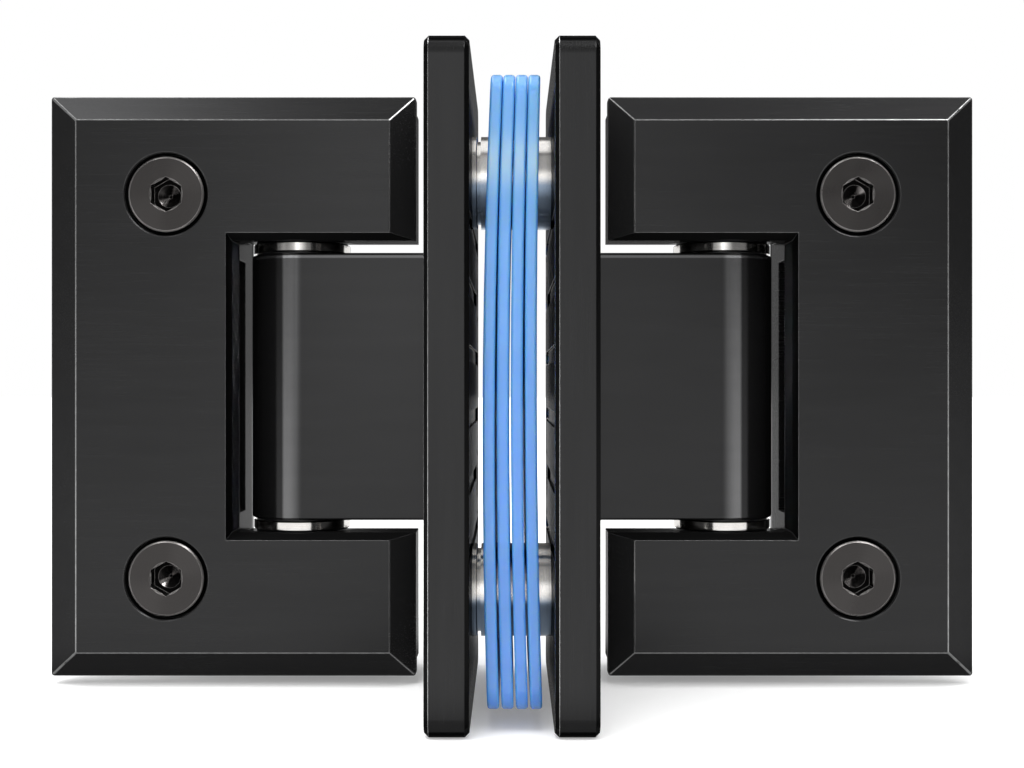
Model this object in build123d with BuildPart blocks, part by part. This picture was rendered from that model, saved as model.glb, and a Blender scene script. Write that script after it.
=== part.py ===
from build123d import *
import os

# A three-way hinge for glass doors. Millimetres. X runs to the right, Y away from the viewer, Z up.
# The origin is at mid height, where the middle plane of the two doors (Y = 0) crosses the middle
# plane of the fixed glass (X = 0). Sizes along X are distances from that plane, for either side.

# Glass and gaskets
glass_thickness = 10.0
door_gasket_thickness = 1.5
door_gasket_inset = 1.2
door_gasket_gap = 0.3

# Fixed clamp plates
fixed_plate_thickness = 6.0
fixed_plate_height = 93.1
fixed_plate_width = 55.0
fixed_plate_back = 8.5
fixed_plate_gap = 11.3
fixed_plate_corner = 2.8
fixed_plate_edge = 0.6
grip_groove_pitch = 9.0
grip_groove_count = 6
grip_groove_width = 2.2
grip_groove_depth = 0.4
grip_groove_length = 51.0

# Sleeves of the fixed clamp
sleeve_radius = 6.7
sleeve_edge_distance = 17.05
sleeve_back = 25.0
sleeve_recess = 0.4
sleeve_seat_clearance = 0.05
sleeve_edge = 0.5
sleeve_spigot_radius = 4.5
sleeve_groove_width = 0.5
sleeve_groove_depth = 0.7
collar_thickness = 1.1

# Gasket sheets between the fixed plates
sheet_thickness = 1.62
sheet_count = 4
sheet_end_inset = 3.6
sheet_front_inset = 3.9
sheet_back_inset = 3.5
sheet_drop = 0.75
sheet_corner = 3.0
sheet_edge_radius = 0.4
sheet_hole_clearance = 0.3
sheet_pitch_top = 1.68
sheet_pitch_middle = 1.88
sheet_pitch_bottom = 1.93
sheet_stack_top = 0.51
sheet_stack_middle = -0.3
sheet_stack_bottom = 0.39

# Knuckles
pivot_distance = 34.0
knuckle_thickness = 16.0
knuckle_edge_radius = 0.4

# Pivot pins and what runs on them
pin_radius = 5.0
pin_square = 7.0
pin_square_length = 9.2
pin_square_corner = 0.35
pin_flat_distance = 4.6
pin_flat_height = 20.0
pin_running_clearance = 0.05
pin_bore_clearance = 0.3
bush_wall = 1.5
bush_length = 8.0
bush_flange_radius = 7.3
bush_flange_thickness = 0.2
thrust_gap = 0.1
washer_radius = 7.75
washer_thickness = 1.5
washer_edge = 0.15
ring_radius = 7.3
ring_thickness = 1.05
seat_clearance = 0.02

# Self-closing plungers and their springs
plunger_radius = 4.1
plunger_clearance = 0.1
plunger_length = 4.6
plunger_offset = 5.5
plunger_pin_gap = 0.3
plunger_edge = 0.3
stem_radius = 1.7
stem_length = 5.0
spring_wire_width = 1.5
spring_wire_height = 1.2
spring_turns = 4
spring_end_gap = 0.15
spring_side_gap = 0.15

# Door clamps
clamp_height = 90.5
clamp_thickness = 25.0
clamp_width = 57.0
clamp_arm_end = 15.0
bevel_end_width = 4.2
bevel_arm_width = 3.85
bevel_side_width = 4.85
bevel_depth = 3.5
clamp_edge_radius = 0.5
notch_depth = 28.8
notch_height = 45.6
notch_face_flare = 0.9
notch_wall_flare = 0.3
rear_arm_setback = 0.7
rear_notch_growth = 1.05
rim_width = 2.6
front_rim_height = 4.0
rear_rim_height = 3.5
parting_gap = 0.1
boss_reach = 9.0
boss_wall_depth = 2.6
boss_cap = 2.9
boss_corner_drop = 3.5
boss_relief_radius = 9.4
square_clearance = 0.05

# Clamp screws and threaded barrels
screw_edge_distance = 15.65
screw_distance = 53.3
screw_shank_radius = 3.0
screw_hole_radius = 3.25
screw_head_radius = 5.82
screw_head_land = 0.6
screw_head_edge = 0.25
screw_tip_edge = 0.4
screw_ring_gap = 0.55
screw_ring_depth = 2.0
screw_hole_edge = 0.2
screw_seat_clearance = 0.05
screw_thread_clearance = 0.05
socket_width = 4.7
socket_depth = 2.6
socket_pilot_growth = 0.36
socket_pilot_depth = 0.35
socket_ledge = 0.6
socket_point_share = 0.2
socket_tip_radius = 0.3
barrel_radius = 6.7
barrel_hole_clearance = 0.3
barrel_edge = 0.4
barrel_spigot_radius = 4.5
barrel_spigot_length = 3.0
door_screw_length = 16.0
fixed_screw_length = 13.0

# Knuckle screws
knuckle_screw_inset = 5.5
knuckle_screw_radius = 2.5
knuckle_screw_head_radius = 4.9
knuckle_screw_head_land = 0.4
knuckle_screw_length = 15.0
knuckle_socket_width = 3.2
knuckle_socket_depth = 1.8
tapped_hole_run_out = 1.5

# Worked-out places
plate_inner = fixed_plate_gap / 2
plate_outer = plate_inner + fixed_plate_thickness
plate_middle_y = fixed_plate_back - fixed_plate_width / 2
sleeve_y = -sleeve_back
sleeve_half = fixed_plate_height / 2 - sleeve_edge_distance
clamp_face = clamp_thickness / 2
slot_half = glass_thickness / 2 + door_gasket_thickness
half_plate = clamp_face - slot_half
clamp_outer_end = clamp_arm_end + clamp_width
notch_wall = clamp_arm_end + notch_depth
notch_half = notch_height / 2
rear_arm_end = clamp_arm_end + rear_arm_setback
rear_notch_half = notch_half + rear_notch_growth
boss_outer = notch_wall + boss_wall_depth
boss_inner = pivot_distance - boss_reach
boss_low = rear_notch_half - boss_corner_drop
boss_middle = (boss_outer + boss_inner) / 2
boss_top = rear_notch_half + pin_square_length + square_clearance + boss_cap
front_parting = -slot_half + front_rim_height
rear_parting = front_parting + parting_gap
rear_rim_top = slot_half - rear_rim_height
ring_low = rear_notch_half - ring_thickness
washer_low = ring_low - washer_thickness
knuckle_half = washer_low - thrust_gap - bush_flange_thickness
knuckle_screw_half = knuckle_half - knuckle_screw_inset
washer_bore = pin_radius + pin_running_clearance
bush_outer = pin_radius + pin_running_clearance + bush_wall
screw_half = clamp_height / 2 - screw_edge_distance

os.makedirs("parts", exist_ok=True)


def save(part, name):
    part.label = name
    export_step(part, f"parts/{name}.step")


def face_plane(y, direction):
    # A plane across Y at the given depth, facing forwards (-1) or backwards (+1), with X along X.
    return Plane(origin=(0, y, 0), x_dir=(1, 0, 0), z_dir=(0, direction, 0))


def side_plane(x, direction, y=0, z=0):
    # A plane across X at the given distance, facing left (-1) or right (+1), with its y along Z.
    return Plane(origin=(x, y, z), x_dir=(0, direction, 0), z_dir=(direction, 0, 0))


def countersunk_screws(places, head_radius, land, edge, shank_radius, length, socket, depth):
    # A group of equal screws. Each place is a plane on the head's face, facing out of the head.
    cone = head_radius - shank_radius
    with BuildPart() as screws:
        for place in places:
            section = Plane(origin=place.origin, x_dir=place.x_dir, z_dir=-place.y_dir)
            with BuildSketch(section):
                with BuildLine():
                    Polyline(
                        (0, 0),
                        (head_radius - edge, 0),
                        (head_radius, -edge),
                        (head_radius, -land),
                        (shank_radius, -land - cone),
                        (shank_radius, -length + screw_tip_edge),
                        (shank_radius - screw_tip_edge, -length),
                        (0, -length),
                        close=True,
                    )
                make_face()
            revolve(axis=Axis(place.origin, place.z_dir))
        for place in places:
            with BuildSketch(place):
                Circle((socket + socket_pilot_growth) / 2)
            extrude(amount=-socket_pilot_depth, mode=Mode.SUBTRACT)
            with BuildSketch(place):
                RegularPolygon(radius=socket / 2, side_count=6, major_radius=False, rotation=30)
            extrude(amount=-depth, mode=Mode.SUBTRACT)
            point = socket * socket_point_share
            with Locations(place.offset(-depth - point / 2)):
                Cone(socket_tip_radius, socket / 2 - socket_ledge, point, mode=Mode.SUBTRACT)
    return screws.part


def clamp_half(side, front):
    # One bevelled half of a door clamp: a C round the knuckle, with a rim along the hinge side of
    # its inner face and two bosses that hold the square ends of the pivot pin.
    direction = -1 if front else 1
    outer = face_plane(direction * clamp_face, direction)
    inner = outer.offset(-half_plate)
    arm_end = clamp_arm_end if front else rear_arm_end
    notch = notch_half if front else rear_notch_half
    rim = front_rim_height if front else rear_rim_height
    boss = front_rim_height if front else slot_half - rear_parting
    pocket = pin_square / 2 + square_clearance + (front_parting if front else -rear_parting)
    face_near = arm_end + bevel_arm_width
    face_far = clamp_outer_end - bevel_side_width
    with BuildPart() as half:
        with BuildSketch(outer):
            with Locations((side * (face_near + face_far) / 2, 0)):
                Rectangle(face_far - face_near, clamp_height - 2 * bevel_end_width)
        with BuildSketch(outer.offset(-bevel_depth)):
            with Locations((side * (arm_end + clamp_outer_end) / 2, 0)):
                Rectangle(clamp_outer_end - arm_end, clamp_height)
        loft(ruled=True)
        with BuildSketch(outer.offset(-bevel_depth)):
            with Locations((side * (arm_end + clamp_outer_end) / 2, 0)):
                Rectangle(clamp_outer_end - arm_end, clamp_height)
        extrude(amount=bevel_depth - half_plate)
        glass_side = half.faces().sort_by(Axis(origin=(0, 0, 0), direction=(0, -direction, 0)))[-1]
        visible = [edge for edge in half.edges() if edge not in glass_side.edges()]
        fillet(visible, radius=clamp_edge_radius)

        # The rim runs up both arm ends and round the notch.
        rim_height = clamp_height - 2 * bevel_depth
        with BuildSketch(inner):
            with Locations((side * (arm_end + rim_width / 2), 0)):
                Rectangle(rim_width, rim_height)
            with Locations((side * (arm_end + boss_outer) / 2, 0)):
                Rectangle(boss_outer - arm_end, 2 * (notch + rim_width))
        extrude(amount=-rim)
        with BuildSketch(inner):
            for end in (-1, 1):
                with Locations((side * boss_middle, end * (boss_low + boss_top) / 2)):
                    Rectangle(boss_outer - boss_inner, boss_top - boss_low)
        extrude(amount=-boss)

        # Pockets for the pin's square ends, open at the parting plane.
        with BuildSketch(inner.offset(-boss)):
            with Locations((side * pivot_distance, 0)):
                pocket_length = 2 * (rear_notch_half + pin_square_length + square_clearance)
                Rectangle(pin_square + 2 * square_clearance, pocket_length)
        extrude(amount=pocket, mode=Mode.SUBTRACT)

        # The notch, flared towards the outer face, with a round relief for the rings.
        past_end = arm_end - rim_width
        flared_wall = notch_wall + notch_wall_flare
        with BuildSketch(outer):
            with Locations((side * (past_end + flared_wall) / 2, 0)):
                Rectangle(flared_wall - past_end, 2 * (notch + notch_face_flare))
        with BuildSketch(outer.offset(-bevel_depth)):
            with Locations((side * (past_end + notch_wall) / 2, 0)):
                Rectangle(notch_wall - past_end, 2 * notch)
        loft(mode=Mode.SUBTRACT)
        with BuildSketch(outer.offset(-bevel_depth)):
            with Locations((side * (past_end + notch_wall) / 2, 0)):
                Rectangle(notch_wall - past_end, 2 * notch)
        extrude(amount=-clamp_thickness, mode=Mode.SUBTRACT)
        with Locations((side * pivot_distance, 0, 0)):
            Cylinder(boss_relief_radius, 2 * rear_notch_half, mode=Mode.SUBTRACT)

        # Countersunk holes in the front half, blind seats for the barrels in the rear half.
        for end in (-1, 1):
            centre = (side * screw_distance, end * screw_half, 0)
            if front:
                with Locations(outer):
                    with Locations(centre):
                        Hole(screw_head_radius + screw_ring_gap, depth=screw_ring_depth)
                sunk = screw_head_radius + screw_head_land - screw_ring_depth
                with Locations(outer.offset(-screw_ring_depth)):
                    with Locations(centre):
                        CounterSinkHole(screw_hole_radius, sunk + screw_seat_clearance, counter_sink_angle=90)
            else:
                with Locations(inner):
                    with Locations(centre):
                        Cylinder(
                            barrel_spigot_radius + seat_clearance,
                            barrel_spigot_length + seat_clearance,
                            align=(Align.CENTER, Align.CENTER, Align.MIN),
                            mode=Mode.SUBTRACT,
                        )
        if front:
            rims = half.edges().filter_by(GeomType.CIRCLE).group_by(Axis.Y)[0]
            chamfer(rims, length=screw_hole_edge)
    return half.part


def door_gasket(side, front):
    # A C-shaped sheet that fills a clamp half's inner face outside the rim and the bosses.
    direction = 1 if front else -1
    far_end = clamp_outer_end - door_gasket_inset
    near_end = rear_arm_end + rim_width + door_gasket_gap
    boss_edge = boss_outer + door_gasket_gap
    with BuildPart() as gasket:
        with BuildSketch(face_plane(-direction * slot_half, direction)):
            with Locations((side * (near_end + far_end) / 2, 0)):
                Rectangle(far_end - near_end, clamp_height - 2 * door_gasket_inset)
            with Locations((side * (near_end + boss_edge) / 2, 0)):
                opening = 2 * (boss_top + door_gasket_gap)
                Rectangle(boss_edge - near_end, opening, mode=Mode.SUBTRACT)
            with Locations(*[(side * screw_distance, end * screw_half) for end in (-1, 1)]):
                Circle(barrel_radius + barrel_hole_clearance, mode=Mode.SUBTRACT)
        extrude(amount=door_gasket_thickness)
    return gasket.part


def threaded_barrel(side, end):
    # A barrel between the two halves: seated in the rear one, tapped for the front screw.
    front_end = Plane(origin=(side * screw_distance, -slot_half, end * screw_half), z_dir=(0, 1, 0))
    with BuildPart() as barrel:
        with BuildSketch(front_end):
            Circle(barrel_radius)
        extrude(amount=2 * slot_half)
        chamfer(barrel.edges().sort_by(Axis.Y)[0], length=barrel_edge)
        with BuildSketch(front_end.offset(2 * slot_half)):
            Circle(barrel_spigot_radius)
        extrude(amount=barrel_spigot_length)
        with BuildSketch(front_end):
            Circle(screw_shank_radius + screw_thread_clearance)
        extrude(amount=door_screw_length - half_plate + tapped_hole_run_out, mode=Mode.SUBTRACT)
    return barrel.part


def pivot_pin(side):
    # A round pin with square ends, and three flats at mid height that face the fixed plate and
    # both sides, where the plungers press when the door stands open or closed.
    with BuildPart() as pin:
        with BuildSketch(Plane.XY.offset(-rear_notch_half)):
            with Locations((side * pivot_distance, 0)):
                Circle(pin_radius)
        extrude(amount=2 * rear_notch_half)
        with BuildSketch(Plane.XY.offset(-rear_notch_half - pin_square_length)):
            with Locations((side * pivot_distance, 0)):
                RectangleRounded(pin_square, pin_square, pin_square_corner)
        extrude(amount=2 * (rear_notch_half + pin_square_length))
        with BuildSketch(Plane.XY.offset(-pin_flat_height / 2)):
            with Locations((side * pivot_distance, 0)):
                Circle(2 * pin_radius)
            flat_middle = pivot_distance - pin_flat_distance + pin_radius
            with Locations((side * flat_middle, 0)):
                Rectangle(2 * pin_radius, 2 * pin_flat_distance, mode=Mode.SUBTRACT)
        extrude(amount=pin_flat_height, mode=Mode.SUBTRACT)
    return pin.part


def flat_ring(side, low, thickness, radius, bore, edge):
    # A plain ring on the pivot axis, with its two outer edges broken.
    with BuildPart() as ring:
        with BuildSketch(Plane.XY.offset(low)):
            with Locations((side * pivot_distance, 0)):
                Circle(radius)
        extrude(amount=thickness)
        chamfer(ring.edges(), length=edge)
        with Locations((side * pivot_distance, 0, low + thickness / 2)):
            Cylinder(bore, 2 * thickness, mode=Mode.SUBTRACT)
    return ring.part


def flanged_bush(side, end):
    # A bush pressed into the knuckle, whose thin flange carries the steel washer.
    seat = Plane(origin=(side * pivot_distance, 0, end * knuckle_half), z_dir=(0, 0, end))
    with BuildPart() as bush:
        with BuildSketch(seat):
            Circle(bush_flange_radius)
        extrude(amount=bush_flange_thickness)
        with BuildSketch(seat):
            Circle(bush_outer)
        extrude(amount=-bush_length)
        with BuildSketch(seat.offset(bush_flange_thickness)):
            Circle(pin_radius + pin_running_clearance)
        extrude(amount=-bush_length - bush_flange_thickness, mode=Mode.SUBTRACT)
    return bush.part


def knuckle(side):
    # A block with a full-round end about the pivot axis, screwed to the outside of a fixed plate.
    length = pivot_distance - plate_outer
    seat = side_plane(side * plate_outer, -side)
    with BuildPart() as block:
        with BuildSketch(Plane.XY.offset(-knuckle_half)):
            with Locations((side * (pivot_distance + plate_outer) / 2, 0)):
                Rectangle(length, knuckle_thickness)
            with Locations((side * pivot_distance, 0)):
                Circle(knuckle_thickness / 2)
        extrude(amount=2 * knuckle_half)
        ends = block.faces().sort_by(Axis.Z)
        fillet(ends[0].edges() + ends[-1].edges(), radius=knuckle_edge_radius)
        with Locations((side * pivot_distance, 0, 0)):
            Cylinder(pin_radius + pin_bore_clearance, 2 * knuckle_half, mode=Mode.SUBTRACT)
        for end in (-1, 1):
            with BuildSketch(Plane.XY.offset(end * knuckle_half)):
                with Locations((side * pivot_distance, 0)):
                    Circle(bush_outer + seat_clearance)
            extrude(amount=-end * bush_length, mode=Mode.SUBTRACT)
            with BuildSketch(seat):
                with Locations((0, end * plunger_offset)):
                    Circle(plunger_radius + plunger_clearance)
            extrude(amount=-length, mode=Mode.SUBTRACT)
            with BuildSketch(seat):
                with Locations((0, end * knuckle_screw_half)):
                    Circle(knuckle_screw_radius + screw_thread_clearance)
            tapped = knuckle_screw_length - fixed_plate_thickness + tapped_hole_run_out
            extrude(amount=-tapped, mode=Mode.SUBTRACT)
    return block.part


def plunger(side, end):
    # A flat-faced plunger with a stem that guides its spring, just clear of the pin's round.
    front = pivot_distance - pin_radius - plunger_pin_gap
    face = side_plane(side * front, side, z=end * plunger_offset)
    with BuildPart() as body:
        with BuildSketch(face):
            Circle(plunger_radius)
        extrude(amount=-plunger_length)
        chamfer(body.edges(), length=plunger_edge)
        with BuildSketch(face.offset(-plunger_length)):
            Circle(stem_radius)
        extrude(amount=-stem_length)
    return body.part


def plunger_spring(side, end):
    # A rectangular-wire spring between the fixed plate and the plunger's shoulder.
    low = plate_outer + spring_end_gap
    high = pivot_distance - pin_radius - plunger_pin_gap - plunger_length - spring_end_gap
    rise = high - low - spring_wire_height
    radius = plunger_radius + plunger_clearance - spring_side_gap - spring_wire_width / 2
    start = (side * (low + spring_wire_height / 2), 0, end * plunger_offset)
    with BuildPart() as spring:
        with BuildLine():
            coil = Helix(rise / spring_turns, rise, radius, center=start, direction=(side, 0, 0))
        begin = coil @ 0
        radial = (begin - Vector(*start)).normalized()
        with BuildSketch(Plane(origin=begin, x_dir=radial, z_dir=coil % 0)):
            Rectangle(spring_wire_width, spring_wire_height)
        sweep(path=coil, is_frenet=True)
    return spring.part


def fixed_plate(side):
    # A rounded plate of the fixed clamp, with grip grooves, screw holes and sleeve seats.
    inner = side_plane(side * plate_inner, -side)
    outer = side_plane(side * plate_outer, side)
    with BuildPart() as plate:
        with BuildSketch(inner):
            with Locations((-side * plate_middle_y, 0)):
                RectangleRounded(fixed_plate_width, fixed_plate_height, fixed_plate_corner)
        extrude(amount=-fixed_plate_thickness)
        flats = plate.faces().sort_by(Axis.X)
        chamfer(flats[0].edges() + flats[-1].edges(), length=fixed_plate_edge)
        with BuildSketch(inner):
            with Locations((-side * plate_middle_y, 0)):
                with GridLocations(0, grip_groove_pitch, 1, grip_groove_count):
                    SlotOverall(grip_groove_length, grip_groove_width)
        extrude(amount=-grip_groove_depth, mode=Mode.SUBTRACT)
        for end in (-1, 1):
            with Locations(inner):
                with Locations((-side * sleeve_y, end * sleeve_half)):
                    Hole(sleeve_radius + sleeve_seat_clearance, depth=sleeve_recess)
                with Locations((0, end * knuckle_screw_half)):
                    CounterSinkHole(
                        knuckle_screw_radius + screw_thread_clearance,
                        knuckle_screw_head_radius + knuckle_screw_head_land,
                        counter_sink_angle=90,
                    )
            if side < 0:
                with Locations(outer):
                    with Locations((side * sleeve_y, end * sleeve_half)):
                        sunk = screw_head_radius + screw_head_land + screw_seat_clearance
                        CounterSinkHole(screw_hole_radius, sunk, counter_sink_angle=90)
            else:
                with Locations(outer):
                    with Locations((side * sleeve_y, end * sleeve_half)):
                        Hole(sleeve_spigot_radius + seat_clearance)
    return plate.part


def clamp_sleeve(end):
    # The sleeve between the fixed plates: tapped from the left, with a spigot in the right plate.
    left = side_plane(-plate_inner - sleeve_recess + collar_thickness, 1, sleeve_y, end * sleeve_half)
    length = fixed_plate_gap + 2 * sleeve_recess - collar_thickness
    with BuildPart() as sleeve:
        with BuildSketch(left):
            Circle(sleeve_radius)
        extrude(amount=length)
        fillet(sleeve.edges().sort_by(Axis.X)[-1], radius=sleeve_edge)
        with BuildSketch(left):
            Circle(sleeve_radius + sleeve_edge)
            Circle(sleeve_radius - sleeve_groove_depth, mode=Mode.SUBTRACT)
        extrude(amount=sleeve_groove_width, mode=Mode.SUBTRACT)
        with BuildSketch(left.offset(length)):
            Circle(sleeve_spigot_radius)
        extrude(amount=fixed_plate_thickness - sleeve_recess)
        with BuildSketch(left):
            Circle(screw_shank_radius + screw_thread_clearance)
        used = fixed_screw_length - fixed_plate_thickness - collar_thickness + sleeve_recess
        extrude(amount=used + tapped_hole_run_out, mode=Mode.SUBTRACT)
    return sleeve.part


def sleeve_collar(end):
    # The loose ring at the sleeve's left end, seated in the left plate.
    seat = side_plane(-plate_inner - sleeve_recess, 1, sleeve_y, end * sleeve_half)
    with BuildPart() as collar:
        with BuildSketch(seat):
            Circle(sleeve_radius)
        extrude(amount=collar_thickness)
        chamfer(collar.edges(), length=washer_edge)
        with BuildSketch(seat):
            Circle(screw_hole_radius)
        extrude(amount=collar_thickness, mode=Mode.SUBTRACT)
    return collar.part


def gasket_sheet(index):
    # A loose sheet of the stack on the sleeves, bowed towards the left plate at mid height and
    # fanned out towards the bottom. It hangs a little below the plates' middle.
    place = index - (sheet_count - 1) / 2
    top = fixed_plate_height / 2 - sheet_end_inset - sheet_drop
    bottom = sheet_end_inset - sheet_drop - fixed_plate_height / 2
    near_top = sheet_stack_top + place * sheet_pitch_top - sheet_thickness / 2
    near_middle = sheet_stack_middle + place * sheet_pitch_middle - sheet_thickness / 2
    near_bottom = sheet_stack_bottom + place * sheet_pitch_bottom - sheet_thickness / 2
    bow = [(near_bottom, bottom), (near_middle, -sheet_drop), (near_top, top)]
    bow_far = [(x + sheet_thickness, z) for x, z in bow]
    front = plate_middle_y - fixed_plate_width / 2 + sheet_front_inset
    back = plate_middle_y + fixed_plate_width / 2 - sheet_back_inset
    with BuildPart() as sheet:
        with BuildSketch(face_plane(front, -1)):
            with BuildLine():
                ThreePointArc(*bow)
                Line(bow[-1], bow_far[-1])
                ThreePointArc(*bow_far)
                Line(bow_far[0], bow[0])
            make_face()
        extrude(amount=front - back)
        corners = sheet.edges().filter_by(Axis.X)
        fillet(corners, radius=sheet_corner)
        sides = sheet.faces().sort_by(Axis.X)
        fillet(sides[0].edges() + sides[-1].edges(), radius=sheet_edge_radius)
        for end in (-1, 1):
            with BuildSketch(side_plane(-fixed_plate_gap, 1, sleeve_y, end * sleeve_half)):
                Circle(sleeve_radius + sheet_hole_clearance)
            extrude(amount=2 * fixed_plate_gap, mode=Mode.SUBTRACT)
    return sheet.part


# Each side's fixed plate with its knuckle and what the knuckle holds, then that side's door clamp.
for side, hand in ((-1, "left"), (1, "right")):
    save(fixed_plate(side), f"{hand}_fixed_plate")
    save(knuckle(side), f"{hand}_knuckle")
    knuckle_screw_places = [
        side_plane(side * plate_inner, -side, z=end * knuckle_screw_half) for end in (-1, 1)
    ]
    knuckle_screws = countersunk_screws(
        knuckle_screw_places,
        knuckle_screw_head_radius,
        knuckle_screw_head_land,
        screw_head_edge,
        knuckle_screw_radius,
        knuckle_screw_length,
        knuckle_socket_width,
        knuckle_socket_depth,
    )
    save(knuckle_screws, f"{hand}_knuckle_screws")
    for end, height in ((-1, "lower"), (1, "upper")):
        washer_base = washer_low if end > 0 else -washer_low - washer_thickness
        ring_base = ring_low if end > 0 else -rear_notch_half
        washer = flat_ring(
            side, washer_base, washer_thickness, washer_radius, washer_bore, washer_edge
        )
        ring = flat_ring(
            side, ring_base, ring_thickness, ring_radius, washer_bore, washer_edge
        )
        save(flanged_bush(side, end), f"{hand}_{height}_bush")
        save(plunger(side, end), f"{hand}_{height}_plunger")
        save(plunger_spring(side, end), f"{hand}_{height}_spring")
        save(washer, f"{hand}_{height}_washer")
        save(ring, f"{hand}_{height}_ring")
        save(threaded_barrel(side, end), f"{hand}_{height}_barrel")
    save(pivot_pin(side), f"{hand}_pivot_pin")
    for front, depth_name in ((True, "front"), (False, "rear")):
        save(clamp_half(side, front), f"{hand}_{depth_name}_plate")
        save(door_gasket(side, front), f"{hand}_{depth_name}_gasket")
    door_screw_places = [
        Plane(
            origin=(side * screw_distance, -clamp_face, end * screw_half),
            x_dir=(1, 0, 0),
            z_dir=(0, -1, 0),
        )
        for end in (-1, 1)
    ]
    door_screws = countersunk_screws(
        door_screw_places,
        screw_head_radius,
        screw_head_land,
        screw_head_edge,
        screw_shank_radius,
        door_screw_length,
        socket_width,
        socket_depth,
    )
    save(door_screws, f"{hand}_clamp_screws")

# What joins the two fixed plates: sleeves, collars and screws, and the gasket sheets on them.
for end, height in ((-1, "lower"), (1, "upper")):
    save(clamp_sleeve(end), f"{height}_clamp_sleeve")
    save(sleeve_collar(end), f"{height}_sleeve_collar")
fixed_screw_places = [
    side_plane(-plate_outer, -1, sleeve_y, end * sleeve_half) for end in (-1, 1)
]
fixed_screws = countersunk_screws(
    fixed_screw_places,
    screw_head_radius,
    screw_head_land,
    screw_head_edge,
    screw_shank_radius,
    fixed_screw_length,
    socket_width,
    socket_depth,
)
save(fixed_screws, "fixed_clamp_screws")
for index in range(sheet_count):
    save(gasket_sheet(index), f"gasket_{index + 1}")
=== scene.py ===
import math

import bmesh
import bpy
from bpy.props import FloatProperty, FloatVectorProperty, PointerProperty
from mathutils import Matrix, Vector


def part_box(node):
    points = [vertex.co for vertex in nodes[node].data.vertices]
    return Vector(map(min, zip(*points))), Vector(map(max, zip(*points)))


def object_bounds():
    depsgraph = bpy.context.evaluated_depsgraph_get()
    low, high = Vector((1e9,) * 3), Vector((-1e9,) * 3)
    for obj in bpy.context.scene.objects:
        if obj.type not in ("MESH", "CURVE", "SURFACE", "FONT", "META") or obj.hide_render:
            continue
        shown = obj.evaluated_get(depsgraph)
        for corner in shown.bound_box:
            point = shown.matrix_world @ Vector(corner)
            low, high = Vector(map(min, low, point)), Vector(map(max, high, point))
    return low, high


bl_info = {
    "name": "Glass door hinge",
    "version": (1, 0, 0),
    "blender": (4, 5, 0),
    "location": "3D View > Sidebar > Hinge",
    "description": "Finishes of a three-way glass door hinge, its gasket sheets and a studio",
    "category": "Object",
}

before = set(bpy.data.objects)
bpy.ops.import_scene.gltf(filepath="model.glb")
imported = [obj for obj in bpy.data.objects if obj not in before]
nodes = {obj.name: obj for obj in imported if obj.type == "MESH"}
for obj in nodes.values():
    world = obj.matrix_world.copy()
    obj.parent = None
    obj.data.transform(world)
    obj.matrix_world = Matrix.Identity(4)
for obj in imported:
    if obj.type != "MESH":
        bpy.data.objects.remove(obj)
cad_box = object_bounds()

HANDS = ("left", "right")
HEIGHTS = ("lower", "upper")
SHEET_COUNT = 4
DEGREES = 180.0 / math.pi
WHITE = (1.0, 1.0, 1.0, 1.0)


def box_middle(node):
    low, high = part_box(node)
    return (low + high) / 2


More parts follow.
